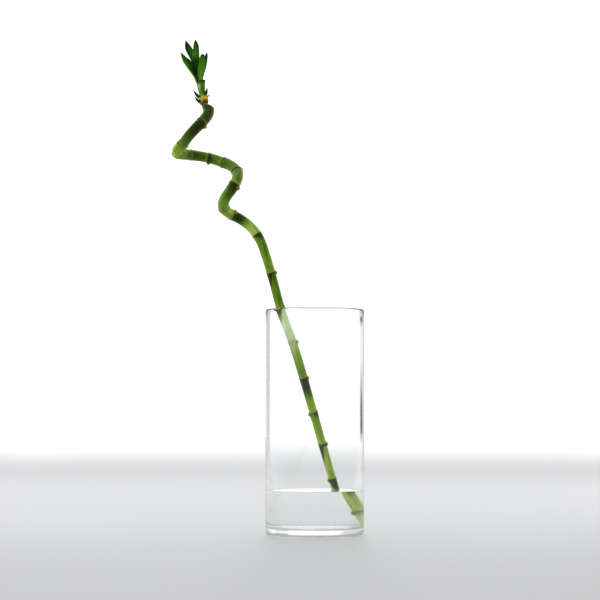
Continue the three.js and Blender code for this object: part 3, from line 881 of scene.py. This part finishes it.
# The shoot's colours up its height, in millimetres, on its right and on its left, and where the two meet
SHOOT_COLOUR_HEIGHT = 24.0
SHOOT_WOBBLE = 2.0
SHOOT_RIGHT = [
    (0.0, colour(92, 52, 16)), (0.08, colour(70, 42, 14)), (0.15, colour(160, 120, 40)),
    (0.22, colour(236, 176, 34)), (0.32, colour(216, 170, 40)), (0.38, colour(90, 126, 36)),
    (0.55, colour(58, 104, 22)), (0.82, colour(66, 118, 24)), (0.9, colour(28, 70, 10)),
    (1.0, colour(12, 40, 6)),
]
SHOOT_LEFT = [
    (0.0, colour(150, 84, 26)), (0.07, colour(176, 136, 52)), (0.14, colour(186, 196, 88)),
    (0.26, colour(170, 206, 104)), (0.36, colour(126, 172, 70)), (0.5, colour(104, 156, 54)),
    (0.74, colour(160, 196, 122)), (0.84, colour(116, 160, 70)), (0.92, colour(46, 94, 20)),
    (1.0, colour(16, 48, 8)),
]
SHOOT_LEFT_FADE = (1.2, -2.6)
SHOOT_STREAK_FADE = (0.4, 0.68, 0.0, 0.35)
SHOOT_STREAK_GREEN = colour(40, 76, 18)


def shoot_material():
    material, tree, shader = new_material("waxy_shoot")
    straight = attribute(tree, "straight", "Vector")
    streak, blotch = fibre(tree, straight)
    up = maths(tree, "ADD", attribute(tree, "up_shoot"), swing(tree, blotch, SHOOT_WOBBLE))
    share = maths(tree, "DIVIDE", up, SHOOT_COLOUR_HEIGHT)
    side = node(tree, "ShaderNodeSeparateXYZ", {0: straight}).outputs["X"]
    left = fade(tree, side, *SHOOT_LEFT_FADE)
    body = blend(tree, left, ramp(tree, share, SHOOT_RIGHT), ramp(tree, share, SHOOT_LEFT))
    streaked = blend(tree, fade(tree, streak, *SHOOT_STREAK_FADE), body, SHOOT_STREAK_GREEN)
    tree.links.new(streaked, shader.inputs["Base Color"])
    shader.inputs["Roughness"].default_value = 0.34
    wax(tree, shader, streak, level=0.24, tint=(0.55, 0.9, 0.4, 1), relief=0.15, depth=0.0004)
    return material


# The leaves' greens from foot to tip, in painted shade and in painted light
LEAF_SHADED_GREENS = [
    (0.0, colour(70, 112, 30)), (0.25, colour(26, 64, 8)), (0.6, colour(24, 66, 8)),
    (0.86, colour(18, 50, 8)), (1.0, colour(10, 26, 8)),
]
LEAF_LIT_GREENS = [
    (0.0, colour(132, 172, 70)), (0.25, colour(84, 148, 20)), (0.6, colour(66, 136, 12)),
    (0.86, colour(44, 100, 12)), (1.0, colour(14, 36, 10)),
]
LEAF_BLOTCH_SWING = 0.6
LEAF_STREAK_FADE = (0.35, 0.65, 0.0, 0.35)
LEAF_STREAK_GREEN = colour(20, 58, 12)
# The pale midrib and edges show only where the leaf's painted light is strong
LEAF_LIT_FADE = (0.1, 0.7)
MIDRIB_FADE = (0.12, 0.04, 0.0, 0.25)
MIDRIB_GREEN = colour(120, 168, 62)
LEAF_EDGE_FADE = (0.9, 0.98, 0.0, 0.6)
LEAF_EDGE_GREEN = colour(128, 168, 72)


def leaf_material():
    material, tree, shader = new_material("young_leaf")
    streak, blotch = fibre(tree, attribute(tree, "straight", "Vector"))
    off = maths(tree, "ABSOLUTE", attribute(tree, "off_midrib"))
    up = attribute(tree, "up_blade")
    light = attribute(tree, "painted_leaf_light")
    # Painted light and shade: the lit share picks between the shaded and the lit greens
    lit_share = maths(tree, "ADD", light, swing(tree, blotch, LEAF_BLOTCH_SWING))
    body = blend(tree, fade(tree, lit_share, 0.0, 1.0), ramp(tree, up, LEAF_SHADED_GREENS), ramp(tree, up, LEAF_LIT_GREENS))
    streaked = blend(tree, fade(tree, streak, *LEAF_STREAK_FADE), body, LEAF_STREAK_GREEN)
    lit = fade(tree, light, *LEAF_LIT_FADE)
    ribbed = blend(tree, times(tree, fade(tree, off, *MIDRIB_FADE), lit), streaked, MIDRIB_GREEN)
    edged = blend(tree, times(tree, fade(tree, off, *LEAF_EDGE_FADE), lit), ribbed, LEAF_EDGE_GREEN)
    tree.links.new(edged, shader.inputs["Base Color"])
    shader.inputs["Roughness"].default_value = 0.36
    wax(tree, shader, streak, level=0.22, tint=(0.5, 0.9, 0.4, 1), relief=0.2, depth=0.0003)
    return material


# The piece list

vase = make_vase()
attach(vase, "root")
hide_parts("vase")

water = make_water()
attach(water, "root")
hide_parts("water")

cane = make_cane()
cane.data.materials.append(cane_material())
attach(cane, "root")
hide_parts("cane")

shoot, shoot_line, shoot_length = make_shoot()
shoot.data.materials.append(shoot_material())
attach(shoot, "root")
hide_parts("shoot")

leaf_finish = leaf_material()
for bract in BRACTS:
    scale_leaf = make_bract(bract, shoot_line, shoot_length)
    scale_leaf.data.materials.append(leaf_finish)
    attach(scale_leaf, "root")

for leaf_name, leaf in LEAVES.items():
    blade = make_leaf(leaf_name, leaf)
    blade.data.materials.append(leaf_finish)
    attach(blade, "root")
    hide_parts(leaf_name)

# Studio: pale floor, soft light, camera, in metres

FLOOR_REACH = 1.6
COVE_ROUND = 0.55
COVE_HEIGHT = 2.6
COVE_STEPS = 96
COVE_ROUND_STEPS = 16
FLOOR_SHADE = (0.53, 0.532, 0.538, 1)
FRONT_PAINTED_SHADE = (0.455, 0.457, 0.464, 1)
WALL_SHADE = (0.1, 0.1, 0.1, 1)
# From where to where painted shade darkens the floor to the front, and at which heights it turns into the
# wall
FRONT_FADE = (0.3, -0.55)
WALL_FADE = (0.0, 0.09)

# How brightly the wall glows, round from the front by the left, the back and the right to the front again
WALL_BRIGHTNESS = 1.2
WALL_GLOW = [
    (0.0, 0.32), (0.2, 0.32), (0.34, 0.5), (0.39, 0.5), (0.43, 0.5), (0.448, 1.0), (0.62, 1.0), (0.7, 0.5),
    (0.85, 0.32), (1.0, 0.32),
]
# A dark strip on the right: its direction in radians, its soft edges, and how it weakens with height
STRIP_TURN = 0.55
STRIP_EDGES = (0.2, 0.14)
STRIP_HEIGHTS = (0.1, 0.25, 0.98, 0.2)
STRIP_FOOT = (0.05, 0.085)
# What clear glass mirrors in place of the glowing wall: a dim one, with a bright patch high on the left
MIRRORED_WALL = 0.03
SIDE_GLOW_TURN = 2.06
SIDE_GLOW_EDGES = (0.46, 0.26)
SIDE_GLOW_HEIGHTS = (0.215, 0.31)
SIDE_GLOW = 7.5

# Each lamp: name, place, what it aims at, width and height, power in watts
LAMPS = [
    ("top_light", (0.1, 0.3, 2.0), (0, 0, 0.2), (1.6, 1.6), 1.5),
    ("side_light_left", (-1.45, -0.4, 0.78), (-0.03, 0, 0.25), (1.2, 1.0), 11),
    ("back_light_right", (1.3, 0.9, 0.9), (-0.03, 0, 0.3), (0.7, 1.4), 11),
    ("back_light_left", (-1.2, 1.2, 1.0), (-0.03, 0, 0.3), (0.6, 1.4), 8),
    ("front_fill", (0.6, -1.9, 1.0), (-0.03, 0, 0.3), (1.2, 0.8), 8),
]
SURROUND = (0.96, 0.98, 1.0, 1)
SURROUND_STRENGTH = 0.8
# The camera, at the photograph's viewing angle
CAMERA_PLACE = (-0.015, -1.848, 0.128)
CAMERA_TILT = 93.4
CAMERA_LENS = 109.08
CAMERA_SENSOR = 36
CAMERA_CLIP_END = 50


def studio_material():
    """A pale floor that turns into a softly glowing wall, brightest behind the vase."""
    material, tree, shader = new_material("pale_floor")
    shader.inputs["Roughness"].default_value = 0.55
    coordinates = node(tree, "ShaderNodeTexCoord").outputs["Object"]
    place = node(tree, "ShaderNodeSeparateXYZ", {0: coordinates}).outputs
    # Painted shade: the floor is drawn darker towards the front
    floor_shade = blend(tree, fade(tree, place["Y"], *FRONT_FADE), FLOOR_SHADE, FRONT_PAINTED_SHADE)
    raised = fade(tree, place["Z"], *WALL_FADE)
    tree.links.new(blend(tree, raised, floor_shade, WALL_SHADE), shader.inputs["Base Color"])

    turn = maths(tree, "ARCTAN2", place["X"], place["Y"])
    share = maths(tree, "MULTIPLY_ADD", turn, 1 / FULL_TURN, 0.5)
    around = ramp(tree, share, [(at, (glow, glow, glow, 1)) for at, glow in WALL_GLOW])
    around = times(tree, around, WALL_BRIGHTNESS)
    strip = fade(tree, maths(tree, "ABSOLUTE", maths(tree, "SUBTRACT", turn, STRIP_TURN)), *STRIP_EDGES)
    strip = times(tree, strip, fade(tree, place["Z"], *STRIP_HEIGHTS))
    strip = times(tree, strip, fade(tree, place["Z"], *STRIP_FOOT))
    seen = times(tree, around, maths(tree, "SUBTRACT", 1.0, strip))

    at_left = fade(tree, maths(tree, "ABSOLUTE", maths(tree, "ADD", turn, SIDE_GLOW_TURN)), *SIDE_GLOW_EDGES)
    side_glow = times(tree, at_left, fade(tree, place["Z"], *SIDE_GLOW_HEIGHTS, 0.0, SIDE_GLOW))
    mirrored = maths(tree, "ADD", MIRRORED_WALL, side_glow)
    path = node(tree, "ShaderNodeLightPath")
    mirror_ray = times(tree, path.outputs["Is Reflection Ray"], path.outputs["Is Singular Ray"])
    glow = node(tree, "ShaderNodeMix", {0: mirror_ray, 2: seen, 3: mirrored}).outputs[0]
    shader.inputs["Emission Color"].default_value = (1.0, 1.0, 1.0, 1)
    tree.links.new(times(tree, glow, raised), shader.inputs["Emission Strength"])
    return material


def make_studio():
    """A round floor that curves up into a wall all round."""
    outline = [(0, 0), (FLOOR_REACH, 0)]
    outline += arc((FLOOR_REACH, COVE_ROUND), COVE_ROUND, -90, 0, COVE_ROUND_STEPS)
    outline += [(FLOOR_REACH + COVE_ROUND, COVE_HEIGHT)]
    cove = turn_outline("studio_floor", [(x / MM, z / MM) for x, z in outline], COVE_STEPS)
    bpy.ops.object.mode_set(mode="EDIT")
    bpy.ops.mesh.select_all(action="SELECT")
    bpy.ops.mesh.normals_make_consistent(inside=True)
    bpy.ops.object.mode_set(mode="OBJECT")
    cove.data.materials.append(studio_material())


def soft_light(name, place, aim, size, power):
    data = bpy.data.lights.new(name, "AREA")
    data.shape = "RECTANGLE"
    data.size, data.size_y = size
    data.energy = power
    lamp = bpy.data.objects.new(name, data)
    bpy.context.scene.collection.objects.link(lamp)
    lamp.location = place
    lamp.rotation_euler = (Vector(aim) - Vector(place)).to_track_quat("-Z", "Y").to_euler()
    lamp.visible_camera = False
    lamp.visible_glossy = False
    lamp.visible_transmission = False


make_studio()
for lamp_values in LAMPS:
    soft_light(*lamp_values)

world = bpy.data.worlds.new("soft_surround")
bpy.context.scene.world = world
world.use_nodes = True
world.node_tree.nodes["Background"].inputs["Color"].default_value = SURROUND
world.node_tree.nodes["Background"].inputs["Strength"].default_value = SURROUND_STRENGTH

camera_data = bpy.data.cameras.new("camera")
camera_data.lens = CAMERA_LENS
camera_data.sensor_width = CAMERA_SENSOR
camera_data.clip_end = CAMERA_CLIP_END
camera = bpy.data.objects.new("camera", camera_data)
bpy.context.scene.collection.objects.link(camera)
camera.location = CAMERA_PLACE
camera.rotation_euler = (math.radians(CAMERA_TILT), 0, 0)
bpy.context.scene.camera = camera

bpy.context.scene.view_settings.view_transform = "Standard"
